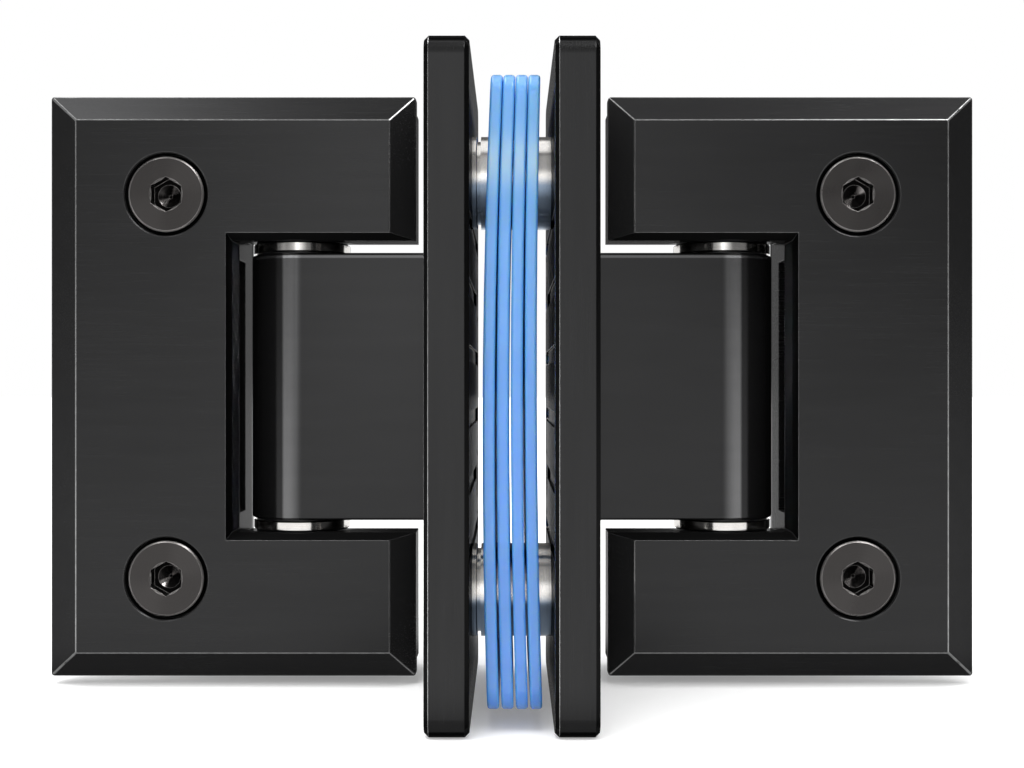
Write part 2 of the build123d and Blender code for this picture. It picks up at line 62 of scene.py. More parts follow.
class HingeMetalSettings(bpy.types.PropertyGroup):
    black: FloatVectorProperty(
        name="Black metal",
        description="Reflectance of the satin black metal, straight on",
        subtype="COLOR",
        size=3,
        min=0.0,
        max=1.0,
        default=(0.036, 0.036, 0.0365),
    )
    black_roughness: FloatProperty(
        name="Black roughness",
        description="Mean roughness of the satin black metal",
        min=0.05,
        max=1.0,
        default=0.25,
    )
    # Worn colour: real wear along the edges, and painted highlight lines on them as well.
    worn: FloatVectorProperty(
        name="Worn edge",
        description="Reflectance where the black finish is worn thin along an edge",
        subtype="COLOR",
        size=3,
        min=0.0,
        max=1.0,
        default=(0.36, 0.36, 0.36),
    )
    # Also how far the painted edge highlight reaches.
    edge_width: FloatProperty(
        name="Edge width",
        description="How far the wear reaches from a sharp edge",
        unit="LENGTH",
        min=0.00002,
        max=0.001,
        default=0.00016,
    )
    brush_spacing: FloatProperty(
        name="Brush spacing",
        description="Typical distance between two brush lines",
        unit="LENGTH",
        min=0.00005,
        max=0.002,
        default=0.00020,
    )
    brush_length: FloatProperty(
        name="Brush length",
        description="Typical length of a brush line",
        unit="LENGTH",
        min=0.001,
        max=0.1,
        default=0.009,
    )
    screw: FloatVectorProperty(
        name="Screw",
        description="Reflectance of the blackened screws, straight on",
        subtype="COLOR",
        size=3,
        min=0.0,
        max=1.0,
        default=(0.056, 0.0527, 0.0514),
    )
    # Worn colour on the screw heads' edges and rims, which also paints their highlights.
    worn_and_highlit_screw: FloatVectorProperty(
        name="Worn screw edge",
        description="Reflectance where a screw head's black is worn off its edges",
        subtype="COLOR",
        size=3,
        min=0.0,
        max=1.0,
        default=(0.46, 0.44, 0.43),
    )
    stainless: FloatVectorProperty(
        name="Stainless steel",
        description="Colour of the polished washers and the barrels",
        subtype="COLOR",
        size=3,
        min=0.0,
        max=1.0,
        default=(0.78, 0.76, 0.73),
    )
    bright_steel: FloatVectorProperty(
        name="Bright steel",
        description="Colour of the turned sleeves and their collars",
        subtype="COLOR",
        size=3,
        min=0.0,
        max=1.0,
        default=(0.99, 0.965, 0.93),
    )
    # Painted shade with a painted blue reflection on the half of a sleeve that faces down.
    sleeve_shade_and_reflection: FloatVectorProperty(
        name="Underside of the sleeves",
        description="Colour of the half of a sleeve that faces down, which picks up the blue sheets",
        subtype="COLOR",
        size=3,
        min=0.0,
        max=1.0,
        default=(0.257, 0.330, 0.435),
    )
    plain_steel: FloatVectorProperty(
        name="Plain steel",
        description="Colour of the pivot pins and plungers",
        subtype="COLOR",
        size=3,
        min=0.0,
        max=1.0,
        default=(0.46, 0.45, 0.44),
    )
    spring_steel: FloatVectorProperty(
        name="Spring steel",
        description="Colour of the oiled springs",
        subtype="COLOR",
        size=3,
        min=0.0,
        max=1.0,
        default=(0.22, 0.22, 0.23),
    )
    nylon: FloatVectorProperty(
        name="Black nylon",
        description="Colour of the rings and bushes round the pivots",
        subtype="COLOR",
        size=3,
        min=0.0,
        max=1.0,
        default=(0.008, 0.008, 0.009),
    )


class HingeGasketSettings(bpy.types.PropertyGroup):
    blue: FloatVectorProperty(
        name="Blue PVC",
        description="Colour of the milky see-through gasket sheets",
        subtype="COLOR",
        size=3,
        min=0.0,
        max=1.0,
        default=(0.170, 0.395, 1.0),
    )
    deep_blue: FloatVectorProperty(
        name="Deep blue PVC",
        description="Colour along the rounded edges of a sheet, where the light comes through its depth",
        subtype="COLOR",
        size=3,
        min=0.0,
        max=1.0,
        default=(0.11, 0.38, 1.0),
    )
    # Painted backlight on the sheets at the height of the upper sleeve.
    pale_blue_painted_light: FloatVectorProperty(
        name="Pale blue PVC",
        description="Colour at the height of the upper sleeve, which lights the sheets from behind",
        subtype="COLOR",
        size=3,
        min=0.0,
        max=1.0,
        default=(0.38, 0.58, 1.0),
    )
    grey: FloatVectorProperty(
        name="Grey PVC",
        description="Colour of the thin gaskets in the door clamps",
        subtype="COLOR",
        size=3,
        min=0.0,
        max=1.0,
        default=(0.055, 0.058, 0.064),
    )


class HingeStageSettings(bpy.types.PropertyGroup):
    camera_distance: FloatProperty(
        name="Camera distance",
        description="Distance from the camera to the middle plane of the doors",
        unit="LENGTH",
        min=0.1,
        max=2.0,
        default=0.2405,
    )
    focal_length: FloatProperty(
        name="Focal length",
        description="Lens length in millimetres on a sensor 36 mm wide",
        min=10.0,
        max=200.0,
        default=52.07,
    )
    horizon_shift: FloatProperty(
        name="Horizon shift",
        description="Lens shift that puts the horizon a little below the middle of the picture",
        min=-0.1,
        max=0.1,
        default=0.0024,
    )
    floor_tone: FloatProperty(
        name="Floor tone",
        description="Lightness of the floor",
        min=0.0,
        max=1.0,
        default=0.82,
    )
    floor_glow: FloatProperty(
        name="Floor glow",
        description="Light added to the floor where the camera sees it, which makes it white",
        min=0.0,
        max=2.0,
        default=0.25,
    )
    key_power: FloatProperty(
        name="Key power",
        description="Power of the large overhead lamp",
        unit="POWER",
        min=0.0,
        max=100.0,
        default=7.0,
    )
    fill: FloatProperty(
        name="Fill",
        description="Level of the even light from all round",
        min=0.0,
        max=4.0,
        default=1.60,
    )


# The range that nearly all values of a noise texture lie in.
NOISE_RANGE = (0.3, 0.7)


class Nodes:
    """Short calls for the shader nodes that the hinge's finishes and its studio use."""

    def __init__(self, tree):
        self.tree = tree

    def node(self, kind, inputs=None, **settings):
        made = self.tree.nodes.new(kind)
        for key, value in settings.items():
            setattr(made, key, value)
        for key, value in (inputs or {}).items():
            self.feed(made.inputs[key], value)
        return made

    def feed(self, socket, value):
        if isinstance(value, bpy.types.NodeSocket):
            self.tree.links.new(value, socket)
        else:
            socket.default_value = value

    def spread(self, value, low, high, new_low, new_high, smooth=False):
        """A level that goes from new_low to new_high as the value goes from low to high."""
        made = self.node(
            "ShaderNodeMapRange",
            {
                "Value": value,
                "From Min": low,
                "From Max": high,
                "To Min": new_low,
                "To Max": new_high,
            },
            interpolation_type="SMOOTHSTEP" if smooth else "LINEAR",
        )
        return made.outputs["Result"]

    def between(self, share, first, second):
        """A level that goes from the first to the second as the share goes from zero to one."""
        return self.spread(share, 0.0, 1.0, first, second)

    def vary(self, noise, low, high):
        """A level that wanders between low and high as a noise does."""
        return self.spread(noise, *NOISE_RANGE, low, high)

    def math(self, operation, first, second=0.0):
        made = self.node("ShaderNodeMath", {0: first, 1: second}, operation=operation)
        return made.outputs["Value"]

    def product(self, *factors):
        total = factors[0]
        for factor in factors[1:]:
            total = self.math("MULTIPLY", total, factor)
        return total

    def window(self, value, low, high, soft):
        """One between low and high, and nothing outside them."""
        return self.product(
            self.spread(value, low - soft, low + soft, 0.0, 1.0, smooth=True),
            self.spread(value, high - soft, high + soft, 1.0, 0.0, smooth=True),
        )

    def profile(self, value, stops):
        """A level that passes through the given stops, each a place and the level there."""
        low, high = stops[0][0], stops[-1][0]
        top = max(level for place, level in stops)
        share = self.spread(value, low, high, 0.0, 1.0)
        ramp = self.node("ShaderNodeValToRGB", {"Fac": share})
        marks = ramp.color_ramp.elements
        while len(marks) < len(stops):
            marks.new(1.0)
        for mark, (place, level) in zip(marks, stops):
            mark.position = (place - low) / (high - low)
            mark.color = (level / top, level / top, level / top, 1.0)
        return self.math("MULTIPLY", ramp.outputs["Color"], top)

    def axes(self, vector):
        return self.node("ShaderNodeSeparateXYZ", {"Vector": vector}).outputs

    def dot(self, first, second):
        made = self.node("ShaderNodeVectorMath", {0: first, 1: second}, operation="DOT_PRODUCT")
        return made.outputs["Value"]

    def tint(self, colour, factor):
        made = self.node("ShaderNodeVectorMath", {0: tuple(colour), "Scale": factor}, operation="SCALE")
        return made.outputs["Vector"]

    def blend(self, factor, first, second):
        made = self.node("ShaderNodeMix", {0: factor}, data_type="RGBA")
        for socket, value in ((made.inputs[6], first), (made.inputs[7], second)):
            linked = isinstance(value, bpy.types.NodeSocket)
            self.feed(socket, value if linked else (*value, 1.0))
        return made.outputs[2]

    def light(self, kind, level):
        """A white emission or background of a given level."""
        return self.node(kind, {"Color": WHITE, "Strength": level}).outputs[0]

    def mix_shaders(self, factor, first, second):
        return self.node("ShaderNodeMixShader", {0: factor, 1: first, 2: second}).outputs["Shader"]


# How alike the rounded and the plain normal are where the edge wear and its painted highlight start along an
# edge, and where they are full.
EDGE_LIKENESS = (0.995, 0.93)
EDGE_SAMPLES = 8


class Finish(Nodes):
    """A material under construction, on the object's own coordinates."""

    def __init__(self, name):
        self.material = bpy.data.materials.new(name)
        self.material.use_nodes = True
        super().__init__(self.material.node_tree)
        self.surface = self.tree.nodes["Principled BSDF"]
        where = self.node("ShaderNodeTexCoord").outputs
        self.place = where["Object"]
        self.facing = where["Normal"]

    def set(self, **values):
        for key, value in values.items():
            self.feed(self.surface.inputs[key.replace("_", " ")], value)

    def noise(self, vector, scale, detail, roughness=0.5):
        made = self.node(
            "ShaderNodeTexNoise",
            {"Vector": vector, "Scale": scale, "Detail": detail, "Roughness": roughness},
        )
        return made.outputs["Fac"]

    def stretched_noise(self, scale, detail, roughness=0.5, turn=(0.0, 0.0, 0.0)):
        """A noise with its own scale along each axis."""
        mapping = self.node("ShaderNodeMapping", {"Vector": self.place, "Rotation": turn, "Scale": scale})
        return self.noise(mapping.outputs["Vector"], 1.0, detail, roughness)

    def bump(self, height, distance, normal=None):
        inputs = {"Height": height, "Distance": distance, "Strength": 1.0}
        if normal is not None:
            inputs["Normal"] = normal
        return self.node("ShaderNodeBump", inputs).outputs["Normal"]

    def round_edges(self, width):
        """A normal that is rounded along sharp edges, and how near each point is to one."""
        rounded = self.node("ShaderNodeBevel", {"Radius": width}, samples=EDGE_SAMPLES).outputs["Normal"]
        plain = self.node("ShaderNodeNewGeometry").outputs["Normal"]
        return rounded, self.spread(self.dot(rounded, plain), *EDGE_LIKENESS, 0.0, 1.0)

    def around(self, centre, axis):
        """Distance from an axis (0, 1 or 2) through a centre, and the angle round it in degrees."""
        placed = self.node(
            "ShaderNodeVectorMath", {0: self.place, 1: tuple(centre)}, operation="SUBTRACT"
        ).outputs["Vector"]
        across = self.axes(placed)
        first, second = (across[index] for index in range(3) if index != axis)
        angle = self.math("MULTIPLY", self.math("ARCTAN2", second, first), DEGREES)
        return self.hypotenuse(first, second), angle

    def hypotenuse(self, first, second):
        squares = self.math(
            "ADD", self.math("MULTIPLY", first, first), self.math("MULTIPLY", second, second)
        )
        return self.math("SQRT", squares)

    def lobes(self, angle, count, crest):
        """A wave round a circle with a number of crests, one of them at the given angle."""
        turned = self.math("MULTIPLY", self.math("SUBTRACT", angle, crest), math.radians(count))
        return self.math("COSINE", turned)


def stretch(along, across_scale, along_scale):
    """Scales of a noise that is drawn out along one axis (0, 1 or 2)."""
    scale = [across_scale] * 3
    scale[along] = along_scale
    return tuple(scale)


def finish_nodes(material, names):
    for name in names:
        mesh = nodes[name].data
        mesh.materials.clear()
        mesh.materials.append(material)


# The black finish. Broad strokes lie among the fine brush lines; their scale across and along
# the brush is a share of the lines' own. A range is the darkest and the lightest factor.
STROKE_SCALE = (0.10, 0.35)
LINE_TONE = (0.93, 1.08)
STROKE_TONE = (0.97, 1.03)
CLOUD_TONE = (0.96, 1.04)
LINE_ROUGHNESS = 0.03
CLOUD_ROUGHNESS = 0.015
LINE_DEPTH = 0.0000022
CLOUD_SCALE = 38.0
CHIP_SCALE = 900.0
CHIP_RANGE = (0.35, 0.60)
CHIP_SHARE = 0.75
METALNESS = 0.88
ANISOTROPY = 0.5
# Share of colour and shine that painted shade leaves.
SHADE_SHARE = 0.05
# A direction across the brush lines, by the axis that they run along. It leans a little, so
# that no face is square to it.
ACROSS_BRUSH = {0: (0.0, 0.1, 1.0), 2: (1.0, 0.1, 0.0)}
# Share of a normal that points along Y on the rounded edges of a door clamp: between the face and a bevel,
# and between a bevel and a side, where the worn colour also paints highlight lines.
FACE_EDGE = (0.835, 0.985)
SIDE_EDGE = (0.45, 0.68)
EDGE_SOFTNESS = 0.012
# How far an edge has to turn towards a side before its painted highlight shows.
TOWARDS_RANGE = (0.02, 0.10)


class BlackMetal(Finish):
    """Satin black metal, brushed along one axis (0, 1 or 2), worn thin along its edges and with painted
    highlights on them.
    """

    def __init__(self, name, along, settings):
        super().__init__(name)
        self.settings = settings
        across_scale = 1.0 / settings.brush_spacing
        along_scale = 1.0 / settings.brush_length
        self.lines = self.stretched_noise(
            stretch(along, across_scale, along_scale), detail=4.0, roughness=0.7
        )
        strokes = self.stretched_noise(
            stretch(along, STROKE_SCALE[0] * across_scale, STROKE_SCALE[1] * along_scale), detail=2.0
        )
        self.cloud = self.noise(self.place, CLOUD_SCALE, detail=2.0)
        self.tone = self.product(
            self.vary(self.lines, *LINE_TONE),
            self.vary(strokes, *STROKE_TONE),
            self.vary(self.cloud, *CLOUD_TONE),
        )
        self.normal, self.worn = self.round_edges(settings.edge_width)
        self.metallic = METALNESS
        across = dict(enumerate(ACROSS_BRUSH[along]))
        self.tangent = self.node("ShaderNodeCombineXYZ", across).outputs["Vector"]

    def slope(self, axis):
        """Share of the normal that points along an axis."""
        return self.math("ABSOLUTE", self.axes(self.facing)[axis])

    def off_middle(self, axis):
        """Distance from the middle of the hinge along an axis."""
        return self.math("ABSOLUTE", self.axes(self.place)[axis])

    def wear(self, axis, *bands):
        """Wears the rounded edges whose normals have these shares along an axis, and paints highlight lines
        on them.
        """
        for low, high in bands:
            band = self.window(self.slope(axis), low, high, EDGE_SOFTNESS)
            self.worn = self.math("MAXIMUM", self.worn, band)

    def highlight_only_towards(self, axis, sign):
        """Leaves the painted edge highlight only on the edges that face one way along an axis, the side that
        the light comes from.
        """
        towards = self.math("MULTIPLY", self.axes(self.normal)[axis], sign)
        self.worn = self.math("MULTIPLY", self.worn, self.spread(towards, *TOWARDS_RANGE, 0.0, 1.0))

    def retone(self, mask, factor):
        """Makes the finish lighter or darker by a factor where the mask is one."""
        self.tone = self.math("MULTIPLY", self.tone, self.between(mask, 1.0, factor))

    def paint_shade(self, mask):
        """Paints shade where the mask is one, taking the shine, the wear and most of the colour away."""
        self.retone(mask, SHADE_SHARE)
        self.metallic = self.between(mask, self.metallic, SHADE_SHARE)
        self.worn = self.math("MULTIPLY", self.worn, self.between(mask, 1.0, 0.0))

    def build(self, roughness, grazing, wear):
        """Sets the surface from what has been gathered so far."""
        chips = self.noise(self.place, CHIP_SCALE, detail=3.0, roughness=0.6)
        worn = self.math("MULTIPLY", self.worn, self.spread(chips, *CHIP_RANGE, CHIP_SHARE, 1.0))
        self.set(
            Base_Color=self.blend(
                worn, self.tint(self.settings.black, self.tone), self.tint(self.settings.worn, wear)
            ),
            Metallic=self.metallic,
            Specular_IOR_Level=0.0,
            Specular_Tint=(grazing, grazing, grazing, 1.0),
            Anisotropic=ANISOTROPY,
            Tangent=self.tangent,
            Roughness=self.math(
                "ADD",
                self.vary(self.lines, -LINE_ROUGHNESS, LINE_ROUGHNESS),
                self.vary(self.cloud, roughness - CLOUD_ROUGHNESS, roughness + CLOUD_ROUGHNESS),
            ),
            Normal=self.bump(self.lines, LINE_DEPTH, normal=self.normal),
        )


# The screw heads: the corner radius of the driver socket, the radius of the flat face, and
# how soft the change in finish is at each.
SOCKET_RADIUS = 0.00253
SOCKET_SOFTNESS = 0.00005
HEAD_EDGE_RADIUS = 0.0053
HEAD_EDGE_SOFTNESS = 0.0001
SCREW_EDGE_WIDTH = 0.00014
# Share of the worn colour on the heads' sharp edges: wear and painted highlight.
SCREW_WEAR_AND_HIGHLIGHT = 0.6
SCREW_METALNESS = 0.9
SCREW_ROUGHNESS = 0.30
SCREW_ROUGHNESS_VARIATION = 0.04
SCREW_GRAZING = 0.25
SCREW_CLOUD_SCALE = 220.0
SCREW_CLOUD_TONE = (0.95, 1.05)
RING_SCALE = 6000.0
RING_DEPTH = 0.0000015
RING_TONE = (0.94, 1.06)
# Share of a normal along the screw's axis on the drill point in the socket, and on the head's rim.
POINT_SLOPE = (0.78, 0.90)
POINT_SOFTNESS = 0.02
RIM_SLOPE = (0.60, 0.80)
RIM_SOFTNESS = 0.03
# The turned face has a faint fan of light with two lobes, and the drill point a strong one that
# is brighter in its lower lobe. A range is the stretch of the wave over which the light grows.
FAN_CREST = 45.0
FAN_RANGE = (-0.2, 1.0)
FAN_TONE = (0.98, 1.14)
GLINT_RANGE = (0.45, 1.0)
GLINT_TONE = (0.6, 10.0)
LOWER_LOBE_RANGE = (-0.7, 0.7)
LOWER_LOBE_TONE = (0.5, 1.6)
POINT_POLISH = 0.55
# Painted shade in the socket: its tone and metalness.
SOCKET_SHADE = 0.08
SOCKET_METALNESS = 0.05


def turned_metal(name, metal, centre, axis):
    """Blackened metal turned on a lathe: fine rings and a faint painted fan of light round an axis through a
    centre.

    The head's edge is worn and carries a painted highlight, the socket in its middle has painted shade, and
    the drill point in it has a painted glint.
    """
    shader = Finish(name)
    radius, angle = shader.around(centre, axis)
    rings = shader.node(
        "ShaderNodeTexNoise",
        {"W": radius, "Scale": RING_SCALE, "Detail": 3.0, "Roughness": 0.7},
        noise_dimensions="1D",
    ).outputs["Fac"]
    cloud = shader.noise(shader.place, SCREW_CLOUD_SCALE, detail=3.0, roughness=0.6)
    fan = shader.lobes(angle, 2, FAN_CREST)
    lower_lobe = shader.lobes(angle, 1, FAN_CREST - 180.0)
    along = shader.math("ABSOLUTE", shader.axes(shader.facing)[axis])
    inside = shader.spread(
        radius, SOCKET_RADIUS + SOCKET_SOFTNESS, SOCKET_RADIUS - SOCKET_SOFTNESS, 0.0, 1.0
    )
    point = shader.product(inside, shader.window(along, *POINT_SLOPE, POINT_SOFTNESS))
    # Painted shade in the socket, apart from its drill point.
    socket = shader.math("SUBTRACT", inside, point)
    glint = shader.product(
        shader.spread(fan, *GLINT_RANGE, *GLINT_TONE, smooth=True),
        shader.spread(lower_lobe, *LOWER_LOBE_RANGE, *LOWER_LOBE_TONE),
    )
    # The head's rim: wear and a painted highlight.
    rim = shader.product(
        shader.window(along, *RIM_SLOPE, RIM_SOFTNESS),
        shader.spread(
            radius, HEAD_EDGE_RADIUS - HEAD_EDGE_SOFTNESS, HEAD_EDGE_RADIUS + HEAD_EDGE_SOFTNESS, 0.0, 1.0
        ),
    )
    tone = shader.product(
        shader.vary(rings, *RING_TONE),
        shader.vary(cloud, *SCREW_CLOUD_TONE),
        shader.spread(fan, *FAN_RANGE, *FAN_TONE, smooth=True),
        shader.between(socket, 1.0, SOCKET_SHADE),
        shader.between(point, 1.0, glint),
    )
    normal, sharp = shader.round_edges(SCREW_EDGE_WIDTH)
    shader.set(
        Base_Color=shader.blend(
            shader.math("MAXIMUM", shader.math("MULTIPLY", sharp, SCREW_WEAR_AND_HIGHLIGHT), rim),
            shader.tint(metal.screw, tone),
            tuple(metal.worn_and_highlit_screw),
        ),
        Metallic=shader.between(socket, SCREW_METALNESS, SOCKET_METALNESS),
        Specular_IOR_Level=0.0,
        Specular_Tint=(SCREW_GRAZING, SCREW_GRAZING, SCREW_GRAZING, 1.0),
        Roughness=shader.product(
            shader.vary(
                cloud,
                SCREW_ROUGHNESS - SCREW_ROUGHNESS_VARIATION,
                SCREW_ROUGHNESS + SCREW_ROUGHNESS_VARIATION,
            ),
            shader.between(point, 1.0, POINT_POLISH),
        ),
        Normal=shader.bump(rings, RING_DEPTH, normal=normal),
    )
    return shader.material


# Polished steel: how many noise cells a metre holds along the lathe's lines and across them.
LATHE_SCALE = (260.0, 9000.0)
LATHE_TONE = (0.92, 1.05)
LATHE_ROUGHNESS = (-0.03, 0.04)
LATHE_DEPTH = 0.000003
STAIN_SCALE = 420.0
STAIN_RANGE = (0.25, 0.60)
STAIN_TONE = (0.86, 1.02)
# How far down a surface has to face before it takes the underside's colour, a painted shade with a painted
# blue reflection.
UNDERSIDE_RANGE = (0.05, -0.20)


def polished_metal(name, colour, roughness, around, underside=None):
    """Polished steel with fine lines round an axis (0, 1 or 2) and a few faint stains.

    An underside colour of painted shade and painted blue reflection goes on what faces down.
    """
    shader = Finish(name)
    lines = shader.stretched_noise(stretch(around, *LATHE_SCALE), detail=3.0, roughness=0.6)
    stains = shader.noise(shader.place, STAIN_SCALE, detail=4.0, roughness=0.6)
    steel = shader.tint(
        colour,
        shader.product(
            shader.vary(lines, *LATHE_TONE), shader.spread(stains, *STAIN_RANGE, *STAIN_TONE)
        ),
    )
    if underside is not None:
        # Painted shade and blue reflection on what faces down.
        down = shader.spread(shader.axes(shader.facing)["Z"], *UNDERSIDE_RANGE, 0.0, 1.0, smooth=True)
        steel = shader.blend(down, steel, tuple(underside))
    shader.set(
        Base_Color=steel,
        Metallic=1.0,
        Roughness=shader.vary(lines, *(roughness + change for change in LATHE_ROUGHNESS)),
        Normal=shader.bump(lines, LATHE_DEPTH),
    )
    return shader.material


# Moulded nylon and the grey gaskets.
GRAIN_SCALE = 2600.0
GRAIN_DEPTH = 0.000012
GRAIN_ROUGHNESS = 0.06
MOULD_CLOUD_SCALE = 90.0
MOULD_CLOUD_TONE = (0.9, 1.1)


def moulded_plastic(name, colour, roughness):
    """Matt moulded plastic with a fine grain."""
    shader = Finish(name)
    grain = shader.noise(shader.place, GRAIN_SCALE, detail=3.0, roughness=0.6)
    cloud = shader.noise(shader.place, MOULD_CLOUD_SCALE, detail=2.0)
    shader.set(
        Base_Color=shader.tint(colour, shader.vary(cloud, *MOULD_CLOUD_TONE)),
        Roughness=shader.vary(grain, roughness - GRAIN_ROUGHNESS, roughness + GRAIN_ROUGHNESS),
        Normal=shader.bump(grain, GRAIN_DEPTH),
    )
    return shader.material


# The blue sheets: their tone at the lower and the upper end, a painted light that is darker below and
# lighter above, and how far the pale stretch of painted backlight reaches below and above the axis of the
# upper sleeve.
SHEET_LIGHT_GRADIENT = (0.84, 1.10)
PALE_BELOW = 0.0020
PALE_ABOVE = 0.0035
PALE_SOFTNESS = 0.003
# Share of a normal along X where the deep blue at a sheet's sides starts, and where it is full.
DEEP_RANGE = (0.25, 0.85)
MILK_SCALE = (60.0, 60.0, 45.0)
MILK_TONE = (0.95, 1.05)
WAVE_SCALE = (300.0, 300.0, 70.0)
WAVE_DEPTH = 0.00010
SCRATCH_SCALE = (1100.0, 500.0, 300.0)
SCRATCH_TURN = (0.0, 0.6, 0.0)
SCRATCH_RANGE = (0.40, 0.70)
SCRATCH_ROUGHNESS = (0.16, 0.22)
SCRATCH_DEPTH = 0.000001
PVC_IOR = 1.53
CLEAR_SHARE = 0.30
SCATTER_DISTANCE = 0.0015
SCATTER_COLOURS = (0.35, 0.7, 1.6)


def blue_pvc(settings):
    """Soft milky PVC, clear in the middle of a sheet's edge and deeper blue at its sides."""
    shader = Finish("blue_see_through_pvc")
    milk = shader.stretched_noise(MILK_SCALE, detail=2.0)
    wave = shader.stretched_noise(WAVE_SCALE, detail=2.0)
    scratches = shader.stretched_noise(SCRATCH_SCALE, detail=2.0, turn=SCRATCH_TURN)
    height = shader.axes(shader.place)["Z"]
    low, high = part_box("gasket_1")
    sleeve = box_middle("upper_clamp_sleeve").z
    side = shader.math("ABSOLUTE", shader.axes(shader.facing)["X"])
    # Painted light: the sheets grow lighter from their lower to their upper end.
    body = shader.tint(
        settings.blue,
        shader.product(
            shader.vary(milk, *MILK_TONE), shader.spread(height, low.z, high.z, *SHEET_LIGHT_GRADIENT)
        ),
    )
    # Painted backlight: a pale stretch at the height of the upper sleeve.
    lit = shader.window(height, sleeve - PALE_BELOW, sleeve + PALE_ABOVE, PALE_SOFTNESS)
    shader.set(
        Base_Color=shader.blend(
            shader.spread(side, *DEEP_RANGE, 0.0, 1.0, smooth=True),
            shader.blend(lit, body, tuple(settings.pale_blue_painted_light)),
            tuple(settings.deep_blue),
        ),
        Roughness=shader.spread(scratches, *SCRATCH_RANGE, *SCRATCH_ROUGHNESS),
        IOR=PVC_IOR,
        Transmission_Weight=CLEAR_SHARE,
        Subsurface_Weight=1.0,
        Subsurface_Radius=SCATTER_COLOURS,
        Subsurface_Scale=SCATTER_DISTANCE,
        Normal=shader.bump(wave, WAVE_DEPTH, normal=shader.bump(scratches, SCRATCH_DEPTH)),
    )
    return shader.material


# The share of light that a shallow ray keeps on the black pieces, how much smoother a knuckle is than the
# rest, and the edge wear with its painted highlight as a factor on the worn colour.
GRAZING = 0.12
REAR_GRAZING = 0.38
KNUCKLE_POLISH = 0.04
KNUCKLE_WEAR_AND_HIGHLIGHT = 0.5
# The fixed plates' worn colour is a painted highlight on their left-facing edges.
FIXED_PLATE_EDGE_HIGHLIGHT = 2.75
# Share of a normal along X on the bevel across an arm's end, how far out the arms' ends reach, and how much
# lighter painted light makes the bevel.
ARM_END_BEVEL = (0.55, 0.82)
ARM_END_REACH = 0.030
ARM_END_SOFTNESS = 0.001
ARM_END_LIGHT = 3.0
# A painted highlight band at the start of a knuckle's round, out from the pivot's axis.
BAND_START = (-0.0011, 0.0013)
BAND_END = (0.0018, 0.0022)
HIGHLIGHT_BAND_TONE = 5.0
# A painted highlight line along a knuckle's upper edge, down from its top.
TOP_LINE = (0.0008, 0.0004)
TOP_LINE_SOFTNESS = 0.0001
TOP_HIGHLIGHT_TONE = 3.2
# Share of a normal along Y on the chamfers of a fixed plate, and the painted shade that darkens them.
PLATE_CHAMFER = (0.62, 0.80)
PLATE_CHAMFER_SHADE = 0.35
BEVEL_SOFTNESS = 0.02
# The gap round a screw's head, the stretch outside it with less edge wear and painted highlight, and the
# share of them there.
SCREW_RING_GAP = 0.00055
SCREW_RING_WEAR_AND_HIGHLIGHT = 0.35
SCREW_RING_FADE = (0.0002, 0.0005)
SCREW_RING_SOFTNESS = 0.0001


